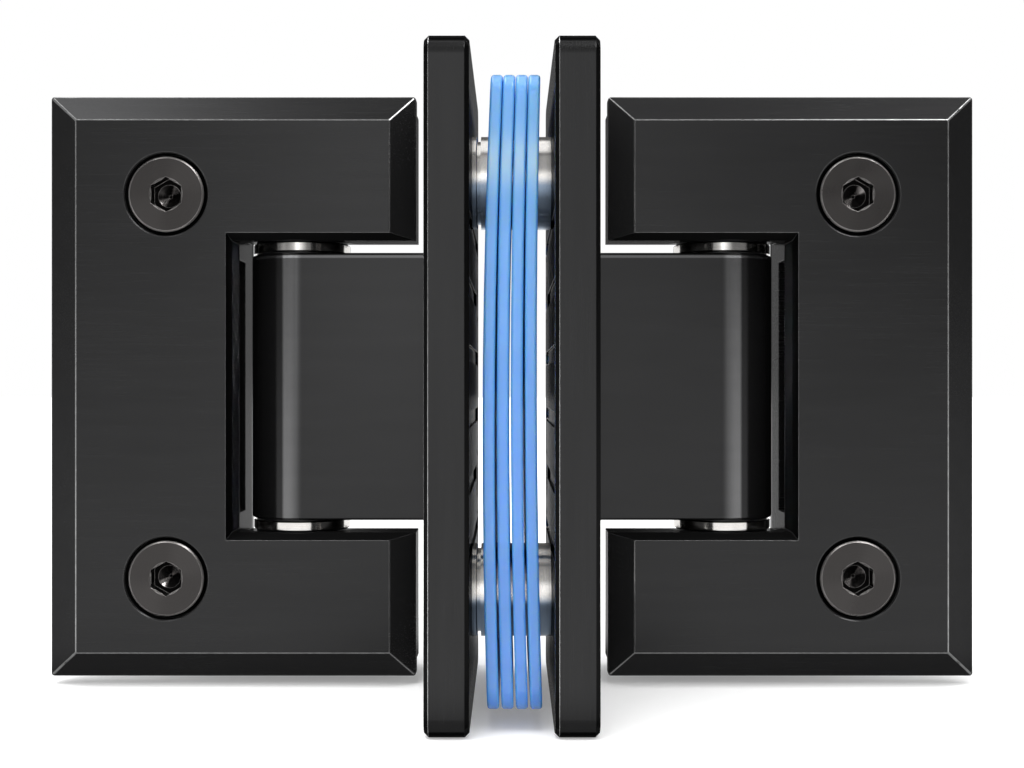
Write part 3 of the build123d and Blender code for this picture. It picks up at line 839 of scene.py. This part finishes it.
class HINGE_OT_clamps(bpy.types.Operator):
    """Gives the door clamps, the knuckles and the fixed plates their brushed black finish"""

    bl_idname = "hinge.clamps"
    bl_label = "Black clamps"

    def execute(self, context):
        metal = context.scene.hinge_metal
        satin = metal.black_roughness
        self.front_plates(metal).build(satin, GRAZING, wear=1.0)
        self.rear_plates(metal).build(satin, REAR_GRAZING, wear=1.0)
        self.knuckles(metal).build(satin - KNUCKLE_POLISH, GRAZING, KNUCKLE_WEAR_AND_HIGHLIGHT)
        self.fixed_plates(metal).build(satin, GRAZING, FIXED_PLATE_EDGE_HIGHLIGHT)
        return {"FINISHED"}

    def black(self, piece, along, metal):
        finish = BlackMetal(f"black_{piece}", along, metal)
        finish_nodes(finish.material, [f"{hand}_{piece}" for hand in HANDS])
        return finish

    def front_plates(self, metal):
        finish = self.black("front_plate", 0, metal)
        # Edge wear with painted highlight lines on the face and side edges.
        finish.wear(1, FACE_EDGE, SIDE_EDGE)
        # Painted light on the bevels across the arms' ends.
        finish.retone(self.arm_end_bevels(finish), ARM_END_LIGHT)
        # Painted shade in the round recesses of the clamp screws.
        finish.paint_shade(self.screw_recesses(finish))
        return finish

    def rear_plates(self, metal):
        finish = self.black("rear_plate", 0, metal)
        finish.wear(1, FACE_EDGE, SIDE_EDGE)
        return finish

    def knuckles(self, metal):
        finish = self.black("knuckle", 0, metal)
        # Painted highlight on the outer round of each knuckle.
        finish.retone(self.painted_highlight_band(finish), HIGHLIGHT_BAND_TONE)
        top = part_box("right_knuckle")[1].z
        height = finish.axes(finish.place)["Z"]
        # Painted highlight line along the knuckle's top edge.
        top_highlight = finish.window(height, top - TOP_LINE[0], top - TOP_LINE[1], TOP_LINE_SOFTNESS)
        finish.retone(top_highlight, TOP_HIGHLIGHT_TONE)
        return finish

    def fixed_plates(self, metal):
        finish = self.black("fixed_plate", 2, metal)
        # Painted highlight lines only on the edges that face left.
        finish.highlight_only_towards(0, -1.0)
        # Painted shade on the chamfers of the fixed plates.
        shaded_chamfers = finish.window(finish.slope(1), *PLATE_CHAMFER, BEVEL_SOFTNESS)
        finish.retone(shaded_chamfers, PLATE_CHAMFER_SHADE)
        return finish

    def arm_end_bevels(self, finish):
        near = finish.spread(finish.off_middle(0), ARM_END_REACH - ARM_END_SOFTNESS, ARM_END_REACH, 1.0, 0.0)
        return finish.product(near, finish.window(finish.slope(0), *ARM_END_BEVEL, BEVEL_SOFTNESS))

    def painted_highlight_band(self, finish):
        pivot = box_middle("right_pivot_pin").x
        outwards = finish.math("SUBTRACT", finish.off_middle(0), pivot)
        return finish.product(
            finish.spread(outwards, *BAND_START, 0.0, 1.0, smooth=True),
            finish.spread(outwards, *BAND_END, 1.0, 0.0),
        )

    def screw_recesses(self, finish):
        """One in the round recesses of the clamp screws, where hardly any light comes."""
        low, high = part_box("right_clamp_screws")
        head_radius = (high.x - low.x) / 2
        radius = finish.hypotenuse(
            finish.math("SUBTRACT", finish.off_middle(0), (low.x + high.x) / 2),
            finish.math("SUBTRACT", finish.off_middle(2), high.z - head_radius),
        )
        edge = head_radius + SCREW_RING_GAP
        fade_start, fade_end = (edge + distance for distance in SCREW_RING_FADE)
        finish.worn = finish.product(
            finish.worn, finish.spread(radius, fade_start, fade_end, SCREW_RING_WEAR_AND_HIGHLIGHT, 1.0)
        )
        return finish.spread(radius, edge - SCREW_RING_SOFTNESS, edge, 1.0, 0.0)


class HINGE_OT_screws(bpy.types.Operator):
    """Gives the countersunk screws turned, blackened heads"""

    bl_idname = "hinge.screws"
    bl_label = "Screws"

    def execute(self, context):
        metal = context.scene.hinge_metal
        for hand in HANDS:
            self.finish(f"{hand}_clamp_screws", 1, metal)
            self.finish(f"{hand}_knuckle_screws", 0, metal)
        self.finish("fixed_clamp_screws", 0, metal)
        return {"FINISHED"}

    def finish(self, screws, axis, metal):
        """Splits a pair of screws at mid height, so that each has its own rings round its axis."""
        low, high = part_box(screws)
        head_radius = (high[1 - axis] - low[1 - axis]) / 2
        middle = box_middle(screws)
        mesh = nodes[screws].data
        mesh.materials.clear()
        for height, place in zip(HEIGHTS, (low.z + head_radius, high.z - head_radius)):
            centre = Vector((middle.x, middle.y, place))
            mesh.materials.append(turned_metal(f"{screws}_{height}", metal, centre, axis))
        for face in mesh.polygons:
            face.material_index = 1 if face.center.z > middle.z else 0


class HINGE_OT_pivots(bpy.types.Operator):
    """Gives the pivot pins, washers, rings and bushes their steel and nylon"""

    bl_idname = "hinge.pivots"
    bl_label = "Pivots"

    def execute(self, context):
        metal = context.scene.hinge_metal
        washer = polished_metal("polished_washer", metal.stainless, roughness=0.12, around=2)
        pin = polished_metal("ground_steel", metal.plain_steel, roughness=0.28, around=2)
        nylon = moulded_plastic("black_nylon", metal.nylon, roughness=0.42)
        for hand in HANDS:
            finish_nodes(pin, (f"{hand}_pivot_pin",))
            for height in HEIGHTS:
                finish_nodes(washer, (f"{hand}_{height}_washer",))
                finish_nodes(nylon, (f"{hand}_{height}_ring", f"{hand}_{height}_bush"))
        return {"FINISHED"}


class HINGE_OT_self_closing(bpy.types.Operator):
    """Gives the plungers and springs in the knuckles their steel"""

    bl_idname = "hinge.self_closing"
    bl_label = "Plungers and springs"

    def execute(self, context):
        metal = context.scene.hinge_metal
        plunger = polished_metal("plunger_steel", metal.plain_steel, roughness=0.3, around=0)
        spring = polished_metal("spring_steel", metal.spring_steel, roughness=0.34, around=0)
        for hand in HANDS:
            for height in HEIGHTS:
                finish_nodes(plunger, (f"{hand}_{height}_plunger",))
                finish_nodes(spring, (f"{hand}_{height}_spring",))
        return {"FINISHED"}


class HINGE_OT_sleeves(bpy.types.Operator):
    """Gives the sleeves, collars and barrels that tie the clamps together their stainless steel"""

    bl_idname = "hinge.sleeves"
    bl_label = "Sleeves and barrels"

    def execute(self, context):
        metal = context.scene.hinge_metal
        sleeve = polished_metal(
            "turned_sleeve", metal.bright_steel, roughness=0.17, around=0, underside=metal.sleeve_shade_and_reflection
        )
        barrel = polished_metal("turned_barrel", metal.stainless, roughness=0.2, around=1)
        for height in HEIGHTS:
            finish_nodes(sleeve, (f"{height}_clamp_sleeve", f"{height}_sleeve_collar"))
            for hand in HANDS:
                finish_nodes(barrel, (f"{hand}_{height}_barrel",))
        return {"FINISHED"}


class HINGE_OT_gasket_sheets(bpy.types.Operator):
    """Gives the four bowed gasket sheets their milky blue PVC"""

    bl_idname = "hinge.gasket_sheets"
    bl_label = "Blue gasket sheets"

    def execute(self, context):
        material = blue_pvc(context.scene.hinge_gasket)
        finish_nodes(material, [f"gasket_{index}" for index in range(1, SHEET_COUNT + 1)])
        return {"FINISHED"}


class HINGE_OT_door_gaskets(bpy.types.Operator):
    """Gives the thin gaskets inside the door clamps their matt grey PVC"""

    bl_idname = "hinge.door_gaskets"
    bl_label = "Door gaskets"

    def execute(self, context):
        material = moulded_plastic("grey_pvc", context.scene.hinge_gasket.grey, roughness=0.55)
        for hand in HANDS:
            finish_nodes(material, (f"{hand}_front_gasket", f"{hand}_rear_gasket"))
        return {"FINISHED"}


# The studio that the metal mirrors, as stops of (azimuth or elevation in degrees, level).
# Azimuth 0 is in front, behind the camera, and grows to the right.
ROOM_ROUND = (
    (-180.0, 0.0), (-118.0, 0.0), (-112.0, 0.25), (-97.0, 0.22), (-92.0, 0.42), (-80.0, 0.44),
    (-66.0, 0.20), (-48.0, 0.12), (-38.0, 0.34), (-28.0, 0.28), (-22.0, 0.38), (-17.0, 0.50),
    (-12.0, 0.70), (-8.0, 1.25), (-4.5, 2.10), (-1.0, 1.35), (5.0, 1.00), (9.0, 0.64), (13.0, 0.46),
    (18.0, 0.18), (26.0, 0.16), (46.0, 0.18), (55.0, 0.08), (75.0, 0.16), (85.0, 0.24),
    (97.0, 0.24), (112.0, 0.20), (118.0, 0.0), (180.0, 0.0),
)
ROOM_HEIGHT = (
    (-90.0, 0.15), (-40.0, 0.30), (-20.0, 1.0), (14.0, 1.0), (21.0, 0.72), (29.0, 0.38),
    (50.0, 0.35), (64.0, 0.30), (72.0, 0.10), (90.0, 0.0),
)
# The ceiling, by the X of the direction to it. It ends towards the front and below an elevation.
ROOM_ABOVE = (
    (-0.35, 6.0), (-0.27, 5.6), (-0.18, 1.55), (-0.06, 0.50), (0.0, 1.20), (0.06, 1.00), (0.35, 1.20),
)
ABOVE_FRONT = (0.35, 0.12)
ABOVE_BOTTOM = (50.0, 64.0)
# What is behind the object, by its distance in azimuth from the front, and where it ends above.
BACKDROP = ((114.0, 0.0), (130.0, 1.0), (172.0, 1.0), (175.5, 0.10), (180.0, 0.10))
BACKDROP_TOP = (50.0, 66.0)
# A small lamp on the right, well above the camera: its direction, its level, and how near its
# direction its edge and its full level are.
SPOT_DIRECTION = (0.450, -0.400, 0.798)
SPOT_LEVEL = 9.0
SPOT_EDGE = (0.955, 0.980)
# What the metal mirrors of the floor under the object, darkened there by a painted shadow, and away from it,
# how far from the object the change is, and how shallow the ray is at it.
FLOOR_UNDER_SHADOW = 0.34
FLOOR_OPEN = 1.15
CLEAR_DISTANCE = (0.002, 0.030)
SHALLOW_RANGE = (0.30, 0.70)
FLOOR_HALF = 6.0
FLOOR_CELLS = 8
FLOOR_GRAIN = 60.0
FLOOR_VARIATION = 0.01
KEY_PLACE = (-0.25, -0.35, 0.95)
KEY_SIZE = 0.7
SENSOR_WIDTH = 36.0
CLIP_START = 0.01
CLIP_END = 50.0


class HINGE_OT_stage(bpy.types.Operator):
    """Sets up the pale floor, the studio light and the camera"""

    bl_idname = "hinge.stage"
    bl_label = "Stage"

    def execute(self, context):
        stage = context.scene.hinge_stage
        self.floor(context.scene, stage)
        self.room(context.scene, stage)
        self.key_lamp(context.scene, stage)
        self.camera(context.scene, stage)
        context.scene.view_settings.view_transform = "Standard"
        return {"FINISHED"}

    def floor(self, scene, stage):
        sheet = bmesh.new()
        bmesh.ops.create_grid(sheet, x_segments=FLOOR_CELLS, y_segments=FLOOR_CELLS, size=FLOOR_HALF)
        bmesh.ops.translate(sheet, verts=sheet.verts, vec=(0.0, 0.0, cad_box[0].z))
        mesh = bpy.data.meshes.new("floor")
        sheet.to_mesh(mesh)
        sheet.free()
        mesh.materials.append(self.floor_paper(stage))
        floor = bpy.data.objects.new("floor", mesh)
        scene.collection.objects.link(floor)

    def floor_paper(self, stage):
        """Pale paper that glows for the camera and has its own level in the metal, with a painted shadow
        under the object.
        """
        shader = Finish("pale_floor")
        shader.tree.nodes.remove(shader.surface)
        rays = shader.node("ShaderNodeLightPath").outputs
        grain = shader.noise(shader.place, FLOOR_GRAIN, detail=2.0)
        tone = shader.vary(grain, stage.floor_tone - FLOOR_VARIATION, stage.floor_tone + FLOOR_VARIATION)
        paper = shader.node("ShaderNodeBsdfDiffuse", {"Color": shader.tint(WHITE[:3], tone)}).outputs["BSDF"]
        glow = shader.light("ShaderNodeEmission", stage.floor_glow)
        seen = shader.node("ShaderNodeAddShader", {0: paper, 1: glow}).outputs["Shader"]
        shallow = shader.node("ShaderNodeLayerWeight", {"Blend": 0.5}).outputs["Facing"]
        # Painted shadow on the floor as the metal mirrors it, under and close to the object.
        unshadowed_floor = shader.product(
            self.outside_painted_shadow(shader), shader.spread(shallow, *SHALLOW_RANGE, 0.0, 1.0)
        )
        mirrored = shader.light(
            "ShaderNodeEmission", shader.between(unshadowed_floor, FLOOR_UNDER_SHADOW, FLOOR_OPEN)
        )
        to_camera = shader.math("MAXIMUM", rays["Is Camera Ray"], rays["Is Transmission Ray"])
        lit = shader.mix_shaders(
            rays["Is Glossy Ray"], shader.mix_shaders(to_camera, paper, seen), mirrored
        )
        shader.tree.links.new(lit, shader.tree.nodes["Material Output"].inputs["Surface"])
        return shader.material

    def outside_painted_shadow(self, shader):
        """A mask for the painted shadow: nothing on the floor under the clamps and close to them, and one
        further away.
        """
        place = shader.axes(shader.place)
        nearest = None
        for node in ("left_front_plate", "right_front_plate", "left_fixed_plate", "right_fixed_plate"):
            low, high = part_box(node)
            # A door clamp is as deep behind its middle plane as in front of it.
            back = -low.y if "front" in node else high.y
            gaps = []
            for value, near, far in ((place["X"], low.x, high.x), (place["Y"], low.y, back)):
                off = shader.math("ABSOLUTE", shader.math("SUBTRACT", value, (near + far) / 2))
                gaps.append(shader.math("MAXIMUM", shader.math("SUBTRACT", off, (far - near) / 2), 0.0))
            distance = shader.math("MAXIMUM", *gaps)
            nearest = distance if nearest is None else shader.math("MINIMUM", nearest, distance)
        return shader.spread(nearest, *CLEAR_DISTANCE, 0.0, 1.0, smooth=True)

    def room(self, scene, stage):
        """Even light for the floor and the soft pieces, and a studio that the metal mirrors."""
        world = bpy.data.worlds.new("studio")
        world.use_nodes = True
        scene.world = world
        world.node_tree.nodes.clear()
        studio = Nodes(world.node_tree)
        rays = studio.node("ShaderNodeLightPath").outputs
        mirrored = studio.light("ShaderNodeBackground", self.mirrored_level(studio))
        even = studio.light("ShaderNodeBackground", stage.fill)
        plain = studio.light("ShaderNodeBackground", 1.0)
        to_camera = studio.math("MAXIMUM", rays["Is Camera Ray"], rays["Is Transmission Ray"])
        lit = studio.mix_shaders(rays["Is Glossy Ray"], even, mirrored)
        seen = studio.mix_shaders(to_camera, lit, plain)
        output = studio.node("ShaderNodeOutputWorld")
        studio.tree.links.new(seen, output.inputs["Surface"])

    def mirrored_level(self, studio):
        """The level of the studio's walls, backdrop, ceiling and small lamp in each direction."""
        towards = studio.node("ShaderNodeTexCoord").outputs["Generated"]
        direction = studio.axes(towards)
        front = studio.math("MULTIPLY", direction["Y"], -1.0)
        azimuth = studio.math("MULTIPLY", studio.math("ARCTAN2", direction["X"], front), DEGREES)
        elevation = studio.math("MULTIPLY", studio.math("ARCSINE", direction["Z"]), DEGREES)
        walls = studio.product(
            studio.profile(azimuth, ROOM_ROUND), studio.profile(elevation, ROOM_HEIGHT)
        )
        backdrop = studio.product(
            studio.profile(studio.math("ABSOLUTE", azimuth), BACKDROP),
            studio.spread(elevation, *BACKDROP_TOP, 1.0, 0.0, smooth=True),
        )
        above = studio.product(
            studio.profile(direction["X"], ROOM_ABOVE),
            studio.spread(front, *ABOVE_FRONT, 0.0, 1.0, smooth=True),
            studio.spread(elevation, *ABOVE_BOTTOM, 0.0, 1.0, smooth=True),
        )
        spot = studio.spread(studio.dot(towards, SPOT_DIRECTION), *SPOT_EDGE, 0.0, SPOT_LEVEL, smooth=True)
        level = walls
        for part in (backdrop, above, spot):
            level = studio.math("ADD", level, part)
        return level

    def key_lamp(self, scene, stage):
        data = bpy.data.lights.new("key", "AREA")
        data.shape = "RECTANGLE"
        data.size = KEY_SIZE
        data.size_y = KEY_SIZE
        data.energy = stage.key_power
        key = bpy.data.objects.new("key", data)
        scene.collection.objects.link(key)
        key.location = KEY_PLACE
        key.rotation_euler = (-key.location).to_track_quat("-Z", "Y").to_euler()
        key.visible_glossy = False

    def camera(self, scene, stage):
        data = bpy.data.cameras.new("camera")
        data.sensor_width = SENSOR_WIDTH
        data.lens = stage.focal_length
        data.shift_y = stage.horizon_shift
        data.clip_start = CLIP_START
        data.clip_end = CLIP_END
        camera = bpy.data.objects.new("camera", data)
        scene.collection.objects.link(camera)
        camera.location = (0.0, -stage.camera_distance, 0.0)
        camera.rotation_euler = (math.radians(90.0), 0.0, 0.0)
        scene.camera = camera


class HINGE_PT_panel(bpy.types.Panel):
    """Lists the settings of the hinge and the steps that finish it"""

    bl_idname = "HINGE_PT_panel"
    bl_label = "Glass door hinge"
    bl_space_type = "VIEW_3D"
    bl_region_type = "UI"
    bl_category = "Hinge"

    def draw(self, context):
        column = self.layout.column()
        for name, group in SETTINGS.items():
            for key in group.__annotations__:
                column.prop(getattr(context.scene, name), key)
        for operator in OPERATORS:
            column.operator(operator.bl_idname)


SETTINGS = {
    "hinge_metal": HingeMetalSettings,
    "hinge_gasket": HingeGasketSettings,
    "hinge_stage": HingeStageSettings,
}
OPERATORS = (
    HINGE_OT_clamps,
    HINGE_OT_screws,
    HINGE_OT_pivots,
    HINGE_OT_self_closing,
    HINGE_OT_sleeves,
    HINGE_OT_gasket_sheets,
    HINGE_OT_door_gaskets,
    HINGE_OT_stage,
)


def register():
    for group in SETTINGS.values():
        bpy.utils.register_class(group)
    for operator in OPERATORS:
        bpy.utils.register_class(operator)
    bpy.utils.register_class(HINGE_PT_panel)
    for name, group in SETTINGS.items():
        setattr(bpy.types.Scene, name, PointerProperty(type=group))


def unregister():
    for name in SETTINGS:
        delattr(bpy.types.Scene, name)
    bpy.utils.unregister_class(HINGE_PT_panel)
    for operator in reversed(OPERATORS):
        bpy.utils.unregister_class(operator)
    for group in reversed(SETTINGS.values()):
        bpy.utils.unregister_class(group)


def main():
    register()
    bpy.ops.hinge.clamps()
    bpy.ops.hinge.screws()
    bpy.ops.hinge.pivots()
    bpy.ops.hinge.self_closing()
    bpy.ops.hinge.sleeves()
    bpy.ops.hinge.gasket_sheets()
    bpy.ops.hinge.door_gaskets()
    bpy.ops.hinge.stage()


if __name__ == "__main__":
    main()
